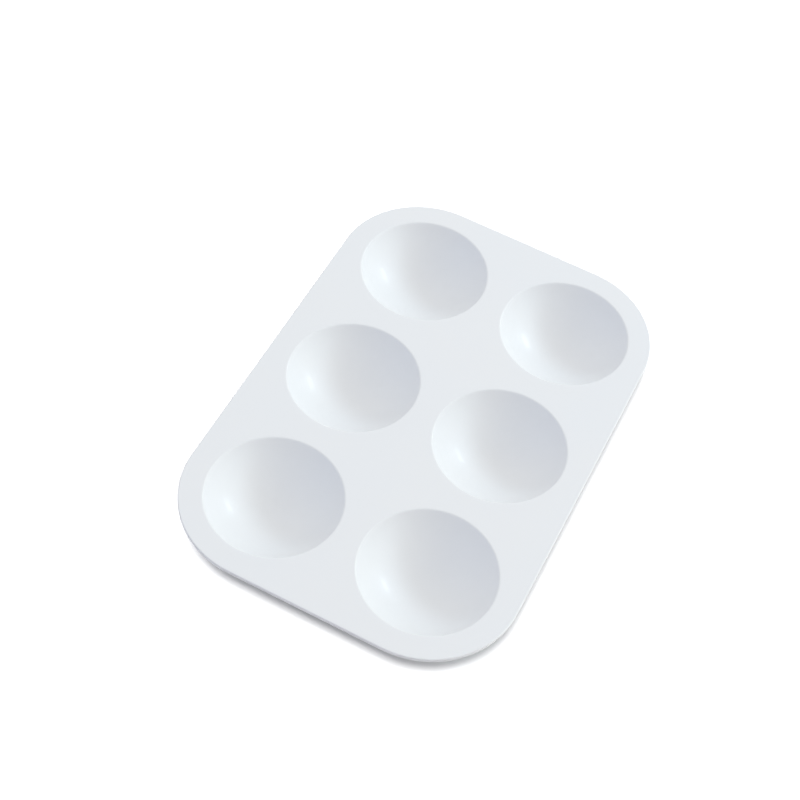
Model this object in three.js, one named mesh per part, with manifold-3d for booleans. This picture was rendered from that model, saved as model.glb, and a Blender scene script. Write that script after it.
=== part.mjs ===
// Six-well mixing palette: one injection-moulded plastic tray.
//
// A flat deck with rounded corners carries two columns of three round wells on a square grid.
// Each well is a spherical bowl whose mouth blends into the deck, and its wall stands out under
// the deck as a dome. The deck's thin edge is rounded over above and below. The tray rests on
// six small round pads, one under each dome.
//
// Frame: millimetres, +X across the tray, +Y along its length, +Z up. The origin is at the centre
// of the footprint, on the surface that the pads stand on.

import * as THREE from "three";
import { mergeVertices } from "three/addons/utils/BufferGeometryUtils.js";
import Module from "manifold-3d";

// Driving dimensions.
const COLUMNS = 2;
const ROWS = 3;
const PITCH = 40; // from one well to the next, both ways
const BORDER = 22.5; // from the middle of an outer well to the nearest edge of the tray
const CORNER_RADIUS = 23;
const WALL = 1.2; // of the deck and of the bowls
const EDGE_ROUND = 0.25; // on the deck's edge, above and below

const WELL_RADIUS = 16.5; // where the bowl's sphere would meet the deck's top face
const WELL_DEPTH = 9;
const MOUTH_BLEND = 0.6; // radius that rolls the deck over into the bowl
const ROOT_BLEND = 0.8; // radius between the dome and the deck's underside

const PAD_RADIUS = 4.5;
const PAD_STEP = 0.2; // how far the pad stands below the dome's lowest point
const GATE_RADIUS = 1.3; // the stub left where the plastic entered the mould
const GATE_HEIGHT = 0.6;

// How finely round shapes are divided.
const TURN_STEPS = 32;
const BOWL_STEPS = 6;
const DOME_STEPS = 5;
const MOUTH_STEPS = 3;
const ROOT_STEPS = 2;
const CORNER_STEPS = 8;
const EDGE_STEPS = 3;
const STUB_STEPS = 16;

// Worked out from the dimensions above.
const WIDTH = (COLUMNS - 1) * PITCH + 2 * BORDER;
const LENGTH = (ROWS - 1) * PITCH + 2 * BORDER;
const DECK_TOP = WELL_DEPTH + WALL + PAD_STEP;
const DECK_UNDER = DECK_TOP - WALL;
const BOWL_SPHERE = (WELL_RADIUS ** 2 + WELL_DEPTH ** 2) / (2 * WELL_DEPTH);
const SPHERE_CENTRE = DECK_TOP - WELL_DEPTH + BOWL_SPHERE;
const DOME_SPHERE = BOWL_SPHERE + WALL;
const CLEAR = 2; // how far a cutting shape runs past what it cuts
const MERGE_WITHIN = 1e-4; // vertices closer than this are one vertex

const wasm = await Module();
wasm.setup();

// A closed three.js geometry as a solid that can be joined and cut.
function solid(geometry) {
  const bare = geometry.clone();
  bare.deleteAttribute("normal");
  bare.deleteAttribute("uv");
  const merged = mergeVertices(bare, MERGE_WITHIN);
  return new wasm.Manifold(
    new wasm.Mesh({
      numProp: 3,
      vertProperties: merged.attributes.position.array,
      triVerts: new Uint32Array(merged.index.array),
    }),
  );
}

// A solid as a three.js geometry.
function geometryOf(made) {
  const mesh = made.getMesh();
  const geometry = new THREE.BufferGeometry();
  geometry.setAttribute("position", new THREE.BufferAttribute(mesh.vertProperties, 3));
  geometry.setIndex(new THREE.BufferAttribute(mesh.triVerts, 1));
  geometry.computeVertexNormals();
  return geometry;
}

// A rectangle with rounded corners, centred on the origin.
function roundedRectangle(width, length, radius) {
  const x = width / 2 - radius;
  const y = length / 2 - radius;
  const shape = new THREE.Shape();
  shape.absarc(x, y, radius, 0, Math.PI / 2);
  shape.absarc(-x, y, radius, Math.PI / 2, Math.PI);
  shape.absarc(-x, -y, radius, Math.PI, 1.5 * Math.PI);
  shape.absarc(x, -y, radius, 1.5 * Math.PI, 2 * Math.PI);
  return shape;
}

// Points on an arc round (x, z), from one angle to another, both ends included.
function arc(x, z, radius, from, to, steps) {
  const points = [];
  for (let i = 0; i <= steps; i++) {
    const angle = from + ((to - from) * i) / steps;
    points.push(new THREE.Vector2(x + radius * Math.cos(angle), z + radius * Math.sin(angle)));
  }
  return points;
}

// A solid of revolution about the vertical line through (x, y). The profile's points are
// (radius, height), start and end on the axis, and run from the bottom to the top.
function turned(profile, x, y) {
  const lathe = new THREE.LatheGeometry(profile, TURN_STEPS);
  lathe.rotateX(Math.PI / 2);
  lathe.translate(x, y, 0);
  return solid(lathe);
}

// The blend that rounds a sphere about SPHERE_CENTRE into a flat: its middle, and the angle at
// which it meets the sphere.
function blendBetween(sphere, flat, radius) {
  const height = flat - radius;
  const drop = SPHERE_CENTRE - height;
  const out = Math.sqrt((sphere + radius) ** 2 - drop ** 2);
  return { out, height, meet: Math.atan2(-drop, out) };
}

// The space inside one well, with its mouth flared by the blend.
function bowlProfile() {
  const { out, height, meet } = blendBetween(BOWL_SPHERE, DECK_TOP, MOUTH_BLEND);
  const bowl = arc(0, SPHERE_CENTRE, BOWL_SPHERE, -Math.PI / 2, meet, BOWL_STEPS);
  const mouth = arc(out, height, MOUTH_BLEND, meet + Math.PI, Math.PI / 2, MOUTH_STEPS);
  return [
    ...bowl,
    ...mouth.slice(1),
    new THREE.Vector2(out, DECK_TOP + CLEAR),
    new THREE.Vector2(0, DECK_TOP + CLEAR),
  ];
}

// The outside of one well under the deck: pad, dome and the blend into the deck's underside.
function domeProfile() {
  const { out, height, meet } = blendBetween(DOME_SPHERE, DECK_UNDER, ROOT_BLEND);
  const padEdge = -Math.acos(PAD_RADIUS / DOME_SPHERE);
  const dome = arc(0, SPHERE_CENTRE, DOME_SPHERE, padEdge, meet, DOME_STEPS);
  const root = arc(out, height, ROOT_BLEND, meet + Math.PI, Math.PI / 2, ROOT_STEPS);
  return [
    new THREE.Vector2(0, 0),
    new THREE.Vector2(PAD_RADIUS, 0),
    ...dome,
    ...root.slice(1),
    new THREE.Vector2(out, DECK_UNDER + WALL / 2),
    new THREE.Vector2(0, DECK_UNDER + WALL / 2),
  ];
}

// The flat deck, before the wells are added.
function deck() {
  const outline = roundedRectangle(WIDTH, LENGTH, CORNER_RADIUS);
  const slab = new THREE.ExtrudeGeometry(outline, {
    depth: WALL - 2 * EDGE_ROUND,
    bevelThickness: EDGE_ROUND,
    bevelSize: EDGE_ROUND,
    bevelOffset: -EDGE_ROUND,
    bevelSegments: EDGE_STEPS,
    curveSegments: CORNER_STEPS,
  });
  slab.translate(0, 0, DECK_UNDER + EDGE_ROUND);
  return solid(slab);
}

// The stub under the middle of the deck, where the moulding's runner was broken off.
function gateStub() {
  const height = GATE_HEIGHT + WALL / 2;
  const stub = new THREE.CylinderGeometry(GATE_RADIUS, GATE_RADIUS, height, STUB_STEPS);
  stub.rotateX(Math.PI / 2);
  stub.translate(0, 0, DECK_UNDER + WALL / 2 - height / 2);
  return solid(stub);
}

// The centre of every well in plan.
function wellCentres() {
  const centres = [];
  for (let row = 0; row < ROWS; row++) {
    for (let column = 0; column < COLUMNS; column++) {
      const x = (column - (COLUMNS - 1) / 2) * PITCH;
      const y = (row - (ROWS - 1) / 2) * PITCH;
      centres.push([x, y]);
    }
  }
  return centres;
}

function trayGeometry() {
  const dome = domeProfile();
  const bowl = bowlProfile();
  let tray = deck().add(gateStub());
  for (const [x, y] of wellCentres()) {
    tray = tray.add(turned(dome, x, y));
  }
  for (const [x, y] of wellCentres()) {
    tray = tray.subtract(turned(bowl, x, y));
  }
  return geometryOf(tray);
}

const whitePlastic = new THREE.MeshStandardMaterial({
  color: 0xeceff1,
  roughness: 0.4,
  metalness: 0,
});

const tray = new THREE.Mesh(trayGeometry(), whitePlastic);
tray.name = "palette_tray";

const palette = new THREE.Group();
palette.add(tray);

export default palette;
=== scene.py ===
"""The looks of a moulded plastic mixing palette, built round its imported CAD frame.

The CAD tray is replaced by one finely divided mesh of the same moulding: a thin flat deck with
six bowls, and an underside with domes, foot pads and the small marks that injection moulding
leaves. Sizes are in metres, in the CAD model's frame: +X across the tray, +Y along it, +Z up,
with the foot pads standing on z = 0. Azimuths are in degrees from +X towards +Y.
"""

import math

import bmesh
import bpy
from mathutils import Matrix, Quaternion, Vector, geometry


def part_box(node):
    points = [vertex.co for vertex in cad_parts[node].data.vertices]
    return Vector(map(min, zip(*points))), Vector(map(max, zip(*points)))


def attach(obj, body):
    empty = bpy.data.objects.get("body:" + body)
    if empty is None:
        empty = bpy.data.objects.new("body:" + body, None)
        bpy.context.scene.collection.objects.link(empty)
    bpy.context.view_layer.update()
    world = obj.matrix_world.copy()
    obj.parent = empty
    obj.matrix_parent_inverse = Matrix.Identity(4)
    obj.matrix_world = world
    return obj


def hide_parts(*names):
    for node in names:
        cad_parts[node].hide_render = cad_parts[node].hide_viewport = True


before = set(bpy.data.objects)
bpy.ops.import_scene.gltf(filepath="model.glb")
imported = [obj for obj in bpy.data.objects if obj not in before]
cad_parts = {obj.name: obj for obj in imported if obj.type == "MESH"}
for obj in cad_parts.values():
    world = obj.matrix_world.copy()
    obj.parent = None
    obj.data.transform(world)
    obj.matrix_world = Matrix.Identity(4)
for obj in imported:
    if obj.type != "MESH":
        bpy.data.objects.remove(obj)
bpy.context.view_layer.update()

MM = 0.001

# Sizes that the frame's box gives.
LOW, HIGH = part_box("palette_tray")
WIDTH = HIGH.x - LOW.x
LENGTH = HIGH.y - LOW.y
DECK_TOP = HIGH.z

# Sizes of the moulding that the box doesn't give.
BORDER = 22.5 * MM  # from the middle of an outer well to the nearest edge
CORNER_RADIUS = 23 * MM
WALL = 1.2 * MM
EDGE_ROUND = 0.25 * MM

COLUMNS = 2
ROWS = 3
WELL_RADIUS = 16.5 * MM  # where the bowl's sphere would meet the deck
WELL_DEPTH = 9 * MM
MOUTH_BLEND = 0.6 * MM
ROOT_BLEND = 0.8 * MM

PAD_RADIUS = 4.5 * MM
PAD_ROUND = 0.15 * MM
GATE_RADIUS = 1.3 * MM
GATE_HEIGHT = 0.6 * MM
PIN_RADIUS = 2 * MM  # marks of the pins that push the tray out of its mould
PIN_DEPTH = 0.12 * MM
PIN_BORDER = 6 * MM  # from the middle of an outer pin's mark to the nearest edge

# Worked out from the sizes above.
PITCH = (WIDTH - 2 * BORDER) / (COLUMNS - 1)
PIN_COLUMN = WIDTH / 2 - PIN_BORDER
DECK_UNDER = DECK_TOP - WALL
BOWL_SPHERE = (WELL_RADIUS**2 + WELL_DEPTH**2) / (2 * WELL_DEPTH)
SPHERE_CENTRE = DECK_TOP - WELL_DEPTH + BOWL_SPHERE
DOME_SPHERE = BOWL_SPHERE + WALL

# How finely the mesh is divided.
TURN_STEPS = 120
BOWL_STEPS = 26
DOME_STEPS = 18
BLEND_STEPS = 10
SMALL_STEPS = 4
CORNER_STEPS = 36
SIDE_SPACING = 3 * MM
FLAT_SPACING = 3.5 * MM
COLLAR = 0.3 * MM  # a narrow flat ring where a curve meets a flat, which keeps the shading clean
CLEAR_OF_EDGE = FLAT_SPACING / 2  # how far a flat's loose points stay from its outlines
MERGE_WITHIN = 1e-8  # metres
INSIDE_OUTLINES = 1  # asks the triangulation for what lies inside its outlines

# The plastic's look.
PLASTIC_COOL = (0.78, 0.808, 0.832)
PLASTIC_WARM = (0.8, 0.814, 0.822)
PLASTIC_IOR = 1.59
TOP_ROUGHNESS = (0.4, 0.48)
SKIN_SHARE = 0.15  # of a thin, better polished skin over the plastic
SKIN_ROUGHNESS = 0.1
UNDERSIDE_DULLER = 0.12
UNDERSIDE_FACING = (-0.3, 0.1)  # the normal's Z where the underside's finish is full, and gone
CLOUD_GRAIN = 24 * MM
CLOUD_DETAIL = 3
CLOUD_HEIGHT = 0.04 * MM
PEEL_GRAIN = 1.8 * MM
PEEL_DETAIL = 2
PEEL_HEIGHT = 0.006 * MM
SMEAR_GRAIN = 7 * MM
SMEAR_DETAIL = 5
SMEAR_SPAN = (0.3, 0.7)  # of the pattern, where it goes from the best polish to the dullest
RING_PITCH = 0.7 * MM
RING_HEIGHT = 0.004 * MM

# The table top.
TABLE_COLOUR = (0.7, 0.7, 0.7)
TABLE_ROUGHNESS = 0.8
TABLE_SPECULAR = 0.2
TABLE_SIZE = 6
TABLE_GAP = 0.05 * MM  # between the table and the foot pads

# The studio's light. A place is an azimuth and an elevation.
ROOM_COLOUR = (0.36, 0.313, 0.328)
GLOW_FOCUS = 3.0
GLOWS = (
    ((0, 30), (0.95, 1.02, 0.98)),
    ((45, 30), (0.43, 0.43, 0.38)),
    ((135, 30), (0.74, 0.755, 0.69)),
    ((225, 30), (0.44, 0.56, 0.69)),
    ((0, -90), (0.12, 0.2, 0.17)),
)
WINDOW_COLOUR = (0.71, 0.88, 1.0)
WINDOW_PLACE = (59, 24)
WINDOW_SIZE = (0.26, 0.12)
WINDOW_POWER = 1.25
PANEL_PLACE = (57, 23)
PANEL_SIZE = (0.62, 0.2)
PANEL_POWER = 1.8
TABLE_LIGHT_PLACE = (-88, 72)
TABLE_LIGHT_ENERGY = 3.6
TABLE_LIGHT_SPREAD = 15
LAMP_DISTANCE = 1

# The camera. Its distance and its aim, from the middle of the deck's top, are in tray lengths.
CAMERA_AZIMUTH = -71.17
CAMERA_ELEVATION = 54.05
CAMERA_ROLL = 9.57
CAMERA_DISTANCE = 3.125
CAMERA_AIM = (-0.0556, -0.0035)
CAMERA_LENS = 71.79
CAMERA_SENSOR = 36
CAMERA_CLIP_START = 0.01


def direction(azimuth, elevation):
    """The unit vector that points at an azimuth and an elevation."""
    a, e = math.radians(azimuth), math.radians(elevation)
    return Vector((math.cos(a) * math.cos(e), math.sin(a) * math.cos(e), math.sin(e)))


def arc(middle_r, middle_z, radius, start, end, steps):
    """Points (r, z) on an arc, with its angles in degrees and both ends included."""
    points = []
    for i in range(steps + 1):
        angle = math.radians(start + (end - start) * i / steps)
        points.append((middle_r + radius * math.cos(angle), middle_z + radius * math.sin(angle)))
    return points


def blend_place(sphere, flat, radius):
    """Where a blend between a sphere and a flat is centred, and the angle at which it leaves
    the sphere, in degrees below the horizon."""
    height = flat - radius
    drop = SPHERE_CENTRE - height
    r = math.sqrt((sphere + radius) ** 2 - drop**2)
    return r, height, math.degrees(math.atan2(drop, r))


def bowl_profile():
    """The inside of a well, from the deck to the middle of the bowl."""
    r, z, leave = blend_place(BOWL_SPHERE, DECK_TOP, MOUTH_BLEND)
    return [
        (r + COLLAR, DECK_TOP),
        *arc(r, z, MOUTH_BLEND, 90, 180 - leave, BLEND_STEPS),
        *arc(0, SPHERE_CENTRE, BOWL_SPHERE, -leave, -90, BOWL_STEPS)[1:],
    ]


def dome_profile():
    """The outside of a well, from the deck's underside to the middle of its foot pad."""
    r, z, leave = blend_place(DOME_SPHERE, DECK_UNDER, ROOT_BLEND)
    pad_edge = PAD_RADIUS + PAD_ROUND
    pad_meets = -math.degrees(math.acos(pad_edge / DOME_SPHERE))
    return [
        (r + COLLAR, DECK_UNDER),
        *arc(r, z, ROOT_BLEND, 90, 180 - leave, SMALL_STEPS),
        *arc(0, SPHERE_CENTRE, DOME_SPHERE, -leave, pad_meets, DOME_STEPS)[1:],
        *arc(PAD_RADIUS, PAD_ROUND, PAD_ROUND, 0, -90, SMALL_STEPS),
        (PAD_RADIUS - COLLAR, 0),
        (0, 0),
    ]


def gate_profile():
    """The stub left under the deck where the plastic entered, with a torn, dished end."""
    foot = DECK_UNDER - GATE_HEIGHT
    dish = GATE_HEIGHT / 4
    return [
        (GATE_RADIUS + COLLAR, DECK_UNDER),
        *arc(GATE_RADIUS + PAD_ROUND, DECK_UNDER - PAD_ROUND, PAD_ROUND, 90, 180, SMALL_STEPS),
        *arc(GATE_RADIUS - PAD_ROUND, foot + PAD_ROUND, PAD_ROUND, 0, -90, SMALL_STEPS),
        (GATE_RADIUS / 2, foot + dish * 2 / 3),
        (0, foot + dish),
    ]


def pin_profile():
    """A shallow round mark pressed into the deck's underside."""
    return [
        (PIN_RADIUS + COLLAR, DECK_UNDER),
        (PIN_RADIUS, DECK_UNDER),
        (PIN_RADIUS - PIN_DEPTH / 2, DECK_UNDER + PIN_DEPTH),
        (PIN_RADIUS - COLLAR, DECK_UNDER + PIN_DEPTH),
        (0, DECK_UNDER + PIN_DEPTH),
    ]


def border_profile():
    """Section of the deck's edge as (distance out from the footprint's edge, height), from the
    deck's top face round to its underside."""
    return [
        (-EDGE_ROUND - COLLAR, DECK_TOP),
        *arc(-EDGE_ROUND, DECK_TOP - EDGE_ROUND, EDGE_ROUND, 90, 0, BLEND_STEPS),
        *arc(-EDGE_ROUND, DECK_UNDER + EDGE_ROUND, EDGE_ROUND, 0, -90, BLEND_STEPS),
        (-EDGE_ROUND - COLLAR, DECK_UNDER),
    ]


def footprint():
    """Points round the rounded rectangle, each with its direction outwards."""
    inset_x = WIDTH / 2 - CORNER_RADIUS
    inset_y = LENGTH / 2 - CORNER_RADIUS
    corners = [(inset_x, inset_y), (-inset_x, inset_y), (-inset_x, -inset_y), (inset_x, -inset_y)]
    stations = []
    for quarter, corner in enumerate(corners):
        for i in range(CORNER_STEPS + 1):
            angle = math.radians(90 * (quarter + i / CORNER_STEPS))
            out = Vector((math.cos(angle), math.sin(angle)))
            stations.append((Vector(corner) + CORNER_RADIUS * out, out))
        here, out = stations[-1]
        there = Vector(corners[(quarter + 1) % 4]) + CORNER_RADIUS * out
        steps = round((there - here).length / SIDE_SPACING)
        stations += [(here.lerp(there, i / steps), out) for i in range(1, steps)]
    return stations


def bridge(bm, first, second):
    """Joins two closed rings of vertices with quads."""
    for i in range(len(first)):
        j = (i + 1) % len(first)
        bm.faces.new((first[i], first[j], second[j], second[i]))


def swept(bm, profile):
    """Sweeps the border's section round the footprint. Returns its first and last rings."""
    stations = footprint()
    rings = []
    for out_by, z in profile:
        ring = []
        for place, out in stations:
            at = place + out_by * out
            ring.append(bm.verts.new((at.x, at.y, z)))
        rings.append(ring)
    for first, second in zip(rings, rings[1:]):
        bridge(bm, first, second)
    return rings[0], rings[-1]


def turned(bm, profile, centre):
    """Turns a profile that ends on the axis about a vertical line. Returns its outer ring."""
    rings = []
    for r, z in profile[:-1]:
        ring = []
        for i in range(TURN_STEPS):
            angle = 2 * math.pi * i / TURN_STEPS
            x = centre.x + r * math.cos(angle)
            y = centre.y + r * math.sin(angle)
            ring.append(bm.verts.new((x, y, z)))
        rings.append(ring)
    for first, second in zip(rings, rings[1:]):
        bridge(bm, first, second)
    pole = bm.verts.new((centre.x, centre.y, profile[-1][1]))
    last = rings[-1]
    for i in range(TURN_STEPS):
        bm.faces.new((last[i], last[(i + 1) % TURN_STEPS], pole))
    return rings[0]


def well_centres():
    """The middle of each well in plan."""
    centres = []
    for row in range(ROWS):
        for column in range(COLUMNS):
            x = (column - (COLUMNS - 1) / 2) * PITCH
            y = (row - (ROWS - 1) / 2) * PITCH
            centres.append(Vector((x, y)))
    return centres


def pin_centres():
    """The middle of each ejector pin's mark, between the rows of wells."""
    columns = (-PIN_COLUMN, 0, PIN_COLUMN)
    return [Vector((x, y)) for y in (-PITCH / 2, PITCH / 2) for x in columns]


def inside_footprint(at, margin):
    """Whether a point is inside the rounded rectangle by at least a margin."""
    x = max(abs(at.x) - (WIDTH / 2 - CORNER_RADIUS), 0)
    y = max(abs(at.y) - (LENGTH / 2 - CORNER_RADIUS), 0)
    return math.hypot(x, y) < CORNER_RADIUS - margin


def loose_points(holes):
    """An even scatter of points in a flat, clear of its border and of its round holes."""
    points = []
    across = round(WIDTH / FLAT_SPACING)
    along = round(LENGTH / FLAT_SPACING)
    for i in range(-across, across + 1):
        for j in range(-along, along + 1):
            at = Vector((i * FLAT_SPACING, (j + (i % 2) / 2) * FLAT_SPACING))
            clear = all((at - centre).length > radius + CLEAR_OF_EDGE for centre, radius in holes)
            if clear and inside_footprint(at, EDGE_ROUND + CLEAR_OF_EDGE):
                points.append(at)
    return points


def fill_flat(bm, border, hole_rings, hole_centres):
    """Fills the flat between a border ring and round holes with even triangles."""
    radii = [(ring[0].co.xy - at).length for ring, at in zip(hole_rings, hole_centres)]
    loops = [border, *hole_rings]
    verts = [vert for loop in loops for vert in loop]
    z = border[0].co.z
    for at in loose_points(list(zip(hole_centres, radii))):
        verts.append(bm.verts.new((at.x, at.y, z)))
    outlines = []
    start = 0
    for loop in loops:
        outlines.append(list(range(start, start + len(loop))))
        start += len(loop)
    places = [vert.co.xy for vert in verts]
    result = geometry.delaunay_2d_cdt(places, [], outlines, INSIDE_OUTLINES, MERGE_WITHIN, True)
    _, _, triangles, sources, _, within = result
    for triangle, inside in zip(triangles, within):
        if inside == [0]:
            bm.faces.new([verts[sources[i][0]] for i in triangle])


def moulding():
    """The whole tray as one closed mesh."""
    bm = bmesh.new()
    top_border, under_border = swept(bm, border_profile())

    wells = well_centres()
    bowls = [turned(bm, bowl_profile(), centre) for centre in wells]
    fill_flat(bm, top_border, bowls, wells)

    pins = pin_centres()
    centres = [*wells, *pins, Vector((0, 0))]
    profiles = [dome_profile()] * len(wells) + [pin_profile()] * len(pins) + [gate_profile()]
    features = [turned(bm, profile, centre) for profile, centre in zip(profiles, centres)]
    fill_flat(bm, under_border, features, centres)

    bmesh.ops.recalc_face_normals(bm, faces=bm.faces)
    mesh = bpy.data.meshes.new("palette_moulding")
    bm.to_mesh(mesh)
    bm.free()
    mesh.polygons.foreach_set("use_smooth", [True] * len(mesh.polygons))
    tray = bpy.data.objects.new("palette_moulding", mesh)
    bpy.context.scene.collection.objects.link(tray)
    return tray


def noise(tree, place, grain, detail):
    """A cloudy pattern from 0 to 1 whose blobs are about one grain across."""
    node = tree.nodes.new("ShaderNodeTexNoise")
    node.inputs["Scale"].default_value = 1 / grain
    node.inputs["Detail"].default_value = detail
    tree.links.new(place, node.inputs["Vector"])
    return node.outputs["Fac"]


def arithmetic(tree, operation, *values):
    """The result of a math node. Each value is a number or another node's output."""
    node = tree.nodes.new("ShaderNodeMath")
    node.operation = operation
    for socket, value in zip(node.inputs, values):
        if isinstance(value, bpy.types.NodeSocket):
            tree.links.new(value, socket)
        else:
            socket.default_value = value
    return node.outputs["Value"]


def ranged(tree, value, span, new_span):
    """A value moved smoothly from one span to another, and held at the new span's ends."""
    node = tree.nodes.new("ShaderNodeMapRange")
    node.interpolation_type = "SMOOTHSTEP"
    tree.links.new(value, node.inputs["Value"])
    node.inputs["From Min"].default_value, node.inputs["From Max"].default_value = span
    node.inputs["To Min"].default_value, node.inputs["To Max"].default_value = new_span
    return node.outputs["Result"]


def blended(tree, share, first, second):
    """A colour between two colours."""
    node = tree.nodes.new("ShaderNodeMix")
    node.data_type = "RGBA"
    tree.links.new(share, node.inputs["Factor"])
    node.inputs["A"].default_value = (*first, 1)
    node.inputs["B"].default_value = (*second, 1)
    return node.outputs["Result"]


def axes_of(tree, vector):
    """The X, Y and Z of a vector."""
    node = tree.nodes.new("ShaderNodeSeparateXYZ")
    tree.links.new(vector, node.inputs["Vector"])
    return node.outputs


def raised(tree, height, size, below):
    """Bumps of a pattern's height times a size in metres, on top of other bumps."""
    node = tree.nodes.new("ShaderNodeBump")
    node.inputs["Distance"].default_value = size
    tree.links.new(height, node.inputs["Height"])
    if below is not None:
        tree.links.new(below, node.inputs["Normal"])
    return node.outputs["Normal"]


def cutter_rings(tree, place):
    """Fine rings about the middle of every well, as the lathe left them in the mould."""
    x, y, _ = axes_of(tree, place)
    across = arithmetic(tree, "PINGPONG", x, PITCH / 2)
    along = arithmetic(tree, "PINGPONG", y, PITCH / 2)
    from_middle_x = arithmetic(tree, "SUBTRACT", PITCH / 2, across)
    square_x = arithmetic(tree, "POWER", from_middle_x, 2.0)
    square_y = arithmetic(tree, "POWER", along, 2.0)
    radius = arithmetic(tree, "SQRT", arithmetic(tree, "ADD", square_x, square_y))
    turns = arithmetic(tree, "DIVIDE", radius, RING_PITCH / (2 * math.pi))
    return arithmetic(tree, "SINE", turns)


def white_polystyrene():
    """Semi-gloss white plastic: slightly cloudy, with the faint ripple that a polished mould
    leaves on top, and a duller underside that keeps the rings of the mould's turned cores."""
    material = bpy.data.materials.new("white_polystyrene")
    material.use_nodes = True
    tree = material.node_tree
    shader = tree.nodes["Principled BSDF"]
    shader.inputs["IOR"].default_value = PLASTIC_IOR
    shader.inputs["Coat Weight"].default_value = SKIN_SHARE
    shader.inputs["Coat Roughness"].default_value = SKIN_ROUGHNESS

    coordinates = tree.nodes.new("ShaderNodeTexCoord")
    place = coordinates.outputs["Object"]
    clouds = noise(tree, place, CLOUD_GRAIN, CLOUD_DETAIL)
    peel = noise(tree, place, PEEL_GRAIN, PEEL_DETAIL)
    smears = noise(tree, place, SMEAR_GRAIN, SMEAR_DETAIL)
    upright = axes_of(tree, coordinates.outputs["Normal"])["Z"]
    underside = ranged(tree, upright, UNDERSIDE_FACING, (1, 0))

    tree.links.new(blended(tree, clouds, PLASTIC_COOL, PLASTIC_WARM), shader.inputs["Base Color"])

    polish = ranged(tree, smears, SMEAR_SPAN, TOP_ROUGHNESS)
    roughness = arithmetic(tree, "MULTIPLY_ADD", underside, UNDERSIDE_DULLER, polish)
    tree.links.new(roughness, shader.inputs["Roughness"])

    waves = raised(tree, clouds, CLOUD_HEIGHT, None)
    peeled = raised(tree, peel, PEEL_HEIGHT, waves)
    rings = arithmetic(tree, "MULTIPLY", cutter_rings(tree, place), underside)
    tree.links.new(raised(tree, rings, RING_HEIGHT, peeled), shader.inputs["Normal"])
    return material


def floor():
    """A plain white table top, just under the foot pads. It is clear when seen from below, and
    it doesn't stop the light from there, so that the tray's underside can be seen."""
    bpy.ops.mesh.primitive_plane_add(size=TABLE_SIZE, location=(0, 0, -TABLE_GAP))
    plane = bpy.context.object
    plane.name = "floor"
    material = bpy.data.materials.new("floor")
    material.use_nodes = True
    tree = material.node_tree
    shader = tree.nodes["Principled BSDF"]
    shader.inputs["Base Color"].default_value = (*TABLE_COLOUR, 1)
    shader.inputs["Roughness"].default_value = TABLE_ROUGHNESS
    shader.inputs["Specular IOR Level"].default_value = TABLE_SPECULAR
    side = tree.nodes.new("ShaderNodeNewGeometry")
    clear = tree.nodes.new("ShaderNodeBsdfTransparent")
    either = tree.nodes.new("ShaderNodeMixShader")
    tree.links.new(side.outputs["Backfacing"], either.inputs[0])
    tree.links.new(shader.outputs["BSDF"], either.inputs[1])
    tree.links.new(clear.outputs["BSDF"], either.inputs[2])
    tree.links.new(either.outputs["Shader"], tree.nodes["Material Output"].inputs["Surface"])
    plane.data.materials.append(material)
    plane.visible_diffuse = False
    return plane


def glow(tree, place, colour, below):
    """Adds a broad soft glow, towards one side of the room, to the light that is there."""
    facing = tree.nodes.new("ShaderNodeVectorMath")
    facing.operation = "DOT_PRODUCT"
    facing.inputs[1].default_value = direction(*place)
    room = tree.nodes.new("ShaderNodeTexCoord")
    tree.links.new(room.outputs["Generated"], facing.inputs[0])
    towards = arithmetic(tree, "MAXIMUM", facing.outputs["Value"], 0.0)
    falling = arithmetic(tree, "POWER", towards, GLOW_FOCUS)
    lit = tree.nodes.new("ShaderNodeVectorMath")
    lit.operation = "MULTIPLY_ADD"
    lit.inputs[1].default_value = colour
    tree.links.new(falling, lit.inputs[0])
    if below is None:
        lit.inputs[2].default_value = ROOM_COLOUR
    else:
        tree.links.new(below, lit.inputs[2])
    return lit.outputs["Vector"]


def room_light():
    """An even room with soft glows low round it, brightest on the right and cool in front, and
    a faint one from below, as a white table gives back."""
    world = bpy.data.worlds.new("studio")
    world.use_nodes = True
    tree = world.node_tree
    light = None
    for place, colour in GLOWS:
        light = glow(tree, place, colour, light)
    tree.links.new(light, tree.nodes["Background"].inputs["Color"])
    bpy.context.scene.world = world


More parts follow.
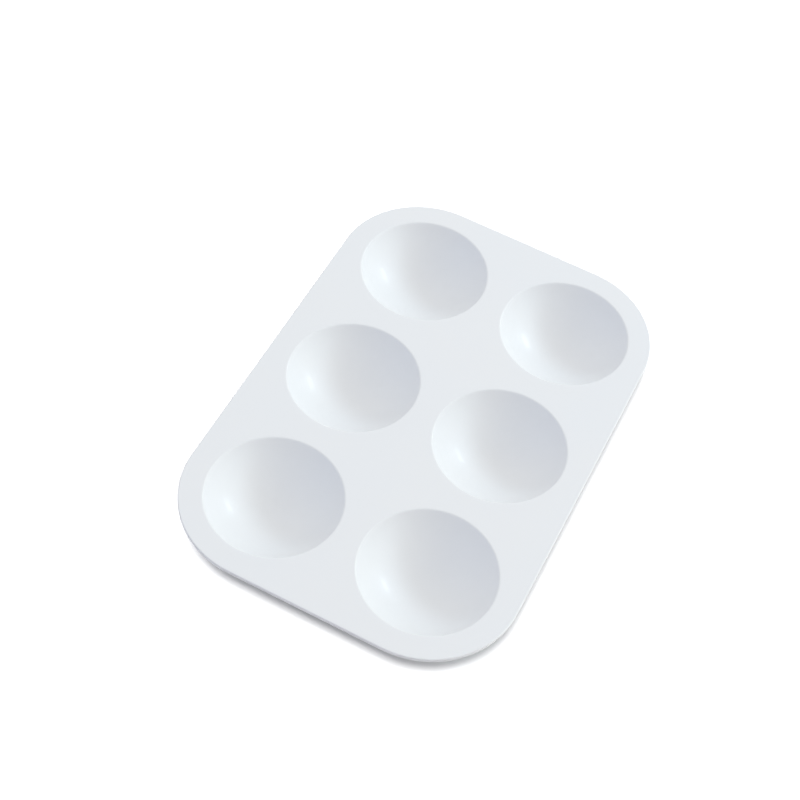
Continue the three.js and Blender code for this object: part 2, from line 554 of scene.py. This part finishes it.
def lamp_at(place, data):
    """A lamp that shines on the tray from an azimuth and an elevation."""
    towards = direction(*place)
    lamp = bpy.data.objects.new(data.name, data)
    lamp.location = Vector((0, 0, DECK_TOP)) + LAMP_DISTANCE * towards
    lamp.rotation_euler = towards.to_track_quat("Z", "Y").to_euler()
    bpy.context.scene.collection.objects.link(lamp)
    return lamp


def soft_lamp(name, place, size, power):
    """A rectangular lamp with the window's colour."""
    data = bpy.data.lights.new(name, "AREA")
    data.shape = "RECTANGLE"
    data.size, data.size_y = size
    data.energy = power
    data.color = WINDOW_COLOUR
    return lamp_at(place, data)


def table_light(table):
    """A high soft lamp from the viewer's side that lights only the table, and so keeps the
    tray's shadow close to its near edge."""
    data = bpy.data.lights.new("table_light", "SUN")
    data.energy = TABLE_LIGHT_ENERGY
    data.angle = math.radians(TABLE_LIGHT_SPREAD)
    lamp = lamp_at(TABLE_LIGHT_PLACE, data)
    only = bpy.data.collections.new("lit_by_table_light")
    only.objects.link(table)
    lamp.light_linking.receiver_collection = only


def lighting(table):
    """The soft room, a window low on the far right that the wells mirror, a wide panel about it
    that they don't, and the table's own lamp."""
    room_light()
    soft_lamp("window", WINDOW_PLACE, WINDOW_SIZE, WINDOW_POWER)
    panel = soft_lamp("panel", PANEL_PLACE, PANEL_SIZE, PANEL_POWER)
    panel.visible_glossy = False
    table_light(table)


def camera():
    """Looks down on the tray from in front and a little to the right, slightly rolled."""
    back = direction(CAMERA_AZIMUTH, CAMERA_ELEVATION)
    aim_x, aim_y = CAMERA_AIM
    aim = Vector((aim_x * LENGTH, aim_y * LENGTH, DECK_TOP))
    roll = Quaternion((0, 0, 1), math.radians(CAMERA_ROLL))
    data = bpy.data.cameras.new("camera")
    data.lens = CAMERA_LENS
    data.sensor_width = CAMERA_SENSOR
    data.clip_start = CAMERA_CLIP_START
    eye = bpy.data.objects.new("camera", data)
    eye.location = aim + CAMERA_DISTANCE * LENGTH * back
    eye.rotation_mode = "QUATERNION"
    eye.rotation_quaternion = back.to_track_quat("Z", "Y") @ roll
    bpy.context.scene.collection.objects.link(eye)
    bpy.context.scene.camera = eye


tray = moulding()
tray.data.materials.append(white_polystyrene())
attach(tray, "root")
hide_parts("palette_tray")

lighting(floor())
camera()
bpy.context.scene.view_settings.view_transform = "Standard"
